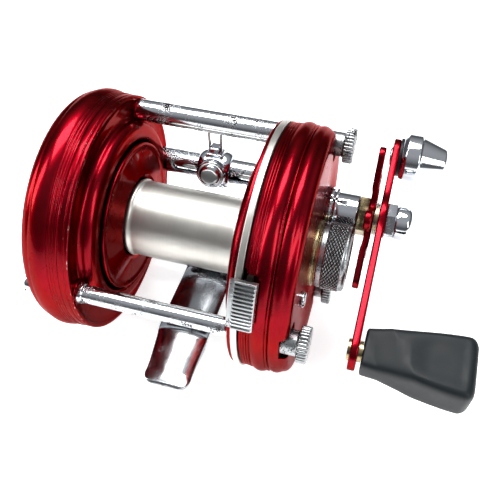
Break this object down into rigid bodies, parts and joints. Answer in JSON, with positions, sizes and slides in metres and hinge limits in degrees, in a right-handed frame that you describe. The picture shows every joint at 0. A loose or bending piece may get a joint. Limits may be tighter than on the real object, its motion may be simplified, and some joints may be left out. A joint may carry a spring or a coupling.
{
  "type": "baitcasting reel",
  "caption": "Round baitcasting fishing reel with red anodised side cups, chromed pillars and foot, star drag and a paddle-knob power handle with a counterweight.",
  "frame": {"origin": "on the reel-seat plane under the foot's tongues, below the middle of the spool", "axes": "+X along the spool axis towards the handle, +Y towards the rod tip, +Z from the foot up to the spool"},
  "size_m": [0.102, 0.0724, 0.0613],
  "materials": {
    "red_anodised": "glossy red anodised",
    "satin_aluminium": "satin, fine turned",
    "chrome": "bright, lightly pitted",
    "steel": "ground",
    "brass": "turned, slightly dulled",
    "black_plastic": "soft matt",
    "fibre": "matt",
    "nylon": "matt"
  },
  "bodies": {
    "frame": {"left_frame_plate": "red_anodised", "right_frame_plate": "red_anodised", "top_pillar": "chrome", "rear_pillar": "chrome", "foot_pillar_rear": "chrome", "foot_pillar_front": "chrome", "foot": "chrome", "foot_rivets": "steel", "trim_ring": "satin_aluminium", "left_cup": "red_anodised", "left_screws": "chrome", "right_cup": "red_anodised", "face_screw": "chrome", "bridge_plate": "satin_aluminium", "bridge_screws": "steel", "left_bearing": "steel", "right_bearing": "steel", "brake_drum": "fibre", "yoke_springs": "steel", "shaft_sleeve": "chrome", "sleeve_ring": "steel", "cap_collar": "brass", "levelwind_tube": "chrome", "worm_bushings": "nylon"},
    "spool": {"spool_arbor": "satin_aluminium", "spool_flanges": "red_anodised", "spool_shaft": "steel", "brake_holder": "nylon"},
    "upper_brake_block": {"brake_block_upper": "fibre"},
    "lower_brake_block": {"brake_block_lower": "fibre"},
    "yoke": {"pinion_yoke": "nylon"},
    "pinion": {"pinion": "brass"},
    "handle": {"drive_shaft": "steel", "wind_driver_gear": "brass", "ratchet_wheel": "steel", "drive_gear": "brass", "drag_washers": "fibre", "pressure_washer": "steel", "drag_sleeve": "steel", "spring_washers": "brass", "handle_arm": "red_anodised", "handle_nut": "steel", "nut_cover": "chrome", "counterweight": "chrome", "knob_spindle": "brass"},
    "star": {"star_nut": "brass", "star_wheel": "red_anodised"},
    "knob": {"knob": "black_plastic"},
    "dog": {"anti_reverse_dog": "steel"},
    "cap": {"tension_cap": "chrome"},
    "worm": {"worm_shaft": "steel", "worm_cog": "nylon"},
    "carrier": {"line_carrier": "chrome", "pawl": "brass", "pawl_cap": "chrome", "guide_wire": "chrome"},
    "thumb_lever": {"thumb_lever": "chrome"},
    "screw_top": {"takedown_screw_top": "chrome"},
    "screw_rear": {"takedown_screw_rear": "chrome"},
    "screw_front": {"takedown_screw_front": "chrome"}
  },
  "joints": [
    {"name": "handle_turn", "type": "hinge", "parent": "frame", "child": "handle", "pos_m": [0.04, 0.01438, 0.032], "axis": [1, 0, 0], "continuous": true},
    {"name": "spool_spin", "type": "hinge", "parent": "frame", "child": "spool", "pos_m": [0, 0, 0.031], "axis": [1, 0, 0], "continuous": true},
    {"name": "pinion_shift", "type": "slide", "parent": "frame", "child": "yoke", "axis": [1, 0, 0], "range_m": [0, 0.0013]},
    {"name": "pinion_spin", "type": "hinge", "parent": "yoke", "child": "pinion", "pos_m": [0.025, 0, 0.031], "axis": [1, 0, 0], "continuous": true},
    {"name": "worm_spin", "type": "hinge", "parent": "frame", "child": "worm", "pos_m": [0, 0.0234, 0.03087], "axis": [1, 0, 0], "continuous": true},
    {"name": "line_guide_slide", "type": "slide", "parent": "frame", "child": "carrier", "axis": [1, 0, 0], "range_m": [-0.0088, 0.0112]},
    {"name": "star_drag_turn", "type": "hinge", "parent": "handle", "child": "star", "pos_m": [0.04, 0.01438, 0.032], "axis": [1, 0, 0], "range_deg": [-180, 180]},
    {"name": "knob_spin", "type": "hinge", "parent": "handle", "child": "knob", "pos_m": [0.05, -0.01978, 0.02349], "axis": [1, 0, 0], "continuous": true},
    {"name": "spool_tension_turn", "type": "hinge", "parent": "frame", "child": "cap", "pos_m": [0, 0, 0.031], "axis": [1, 0, 0], "range_deg": [-180, 180]},
    {"name": "thumb_lever_press", "type": "hinge", "parent": "frame", "child": "thumb_lever", "pos_m": [0, 0, 0.031], "axis": [1, 0, 0], "range_deg": [0, 5]},
    {"name": "dog_swing", "type": "hinge", "parent": "frame", "child": "dog", "pos_m": [0.024, 0.009, 0.0485], "axis": [1, 0, 0], "range_deg": [-5, 0]},
    {"name": "upper_block_slide", "type": "slide", "parent": "spool", "child": "upper_brake_block", "axis": [0, 0, 1], "range_m": [0, 0.0006]},
    {"name": "lower_block_slide", "type": "slide", "parent": "spool", "child": "lower_brake_block", "axis": [0, 0, -1], "range_m": [0, 0.0006]},
    {"name": "top_screw_turn", "type": "hinge", "parent": "frame", "child": "screw_top", "pos_m": [0.03, 0.01631, 0.0515], "axis": [1, 0, 0], "range_deg": [0, 360]},
    {"name": "rear_screw_turn", "type": "hinge", "parent": "frame", "child": "screw_rear", "pos_m": [0.03, -0.02619, 0.03031], "axis": [1, 0, 0], "range_deg": [0, 360]},
    {"name": "front_screw_turn", "type": "hinge", "parent": "frame", "child": "screw_front", "pos_m": [0.03, 0.00998, 0.00678], "axis": [1, 0, 0], "range_deg": [0, 360]}
  ],
  "couplings": [
    {"joint": "spool_spin", "follows": "handle_turn", "ratio": -5.3},
    {"joint": "pinion_spin", "follows": "handle_turn", "ratio": -5.3},
    {"joint": "worm_spin", "follows": "handle_turn", "ratio": -1.5},
    {"joint": "pinion_shift", "follows": "thumb_lever_press", "m_per_rad": 0.014897}
  ]
}
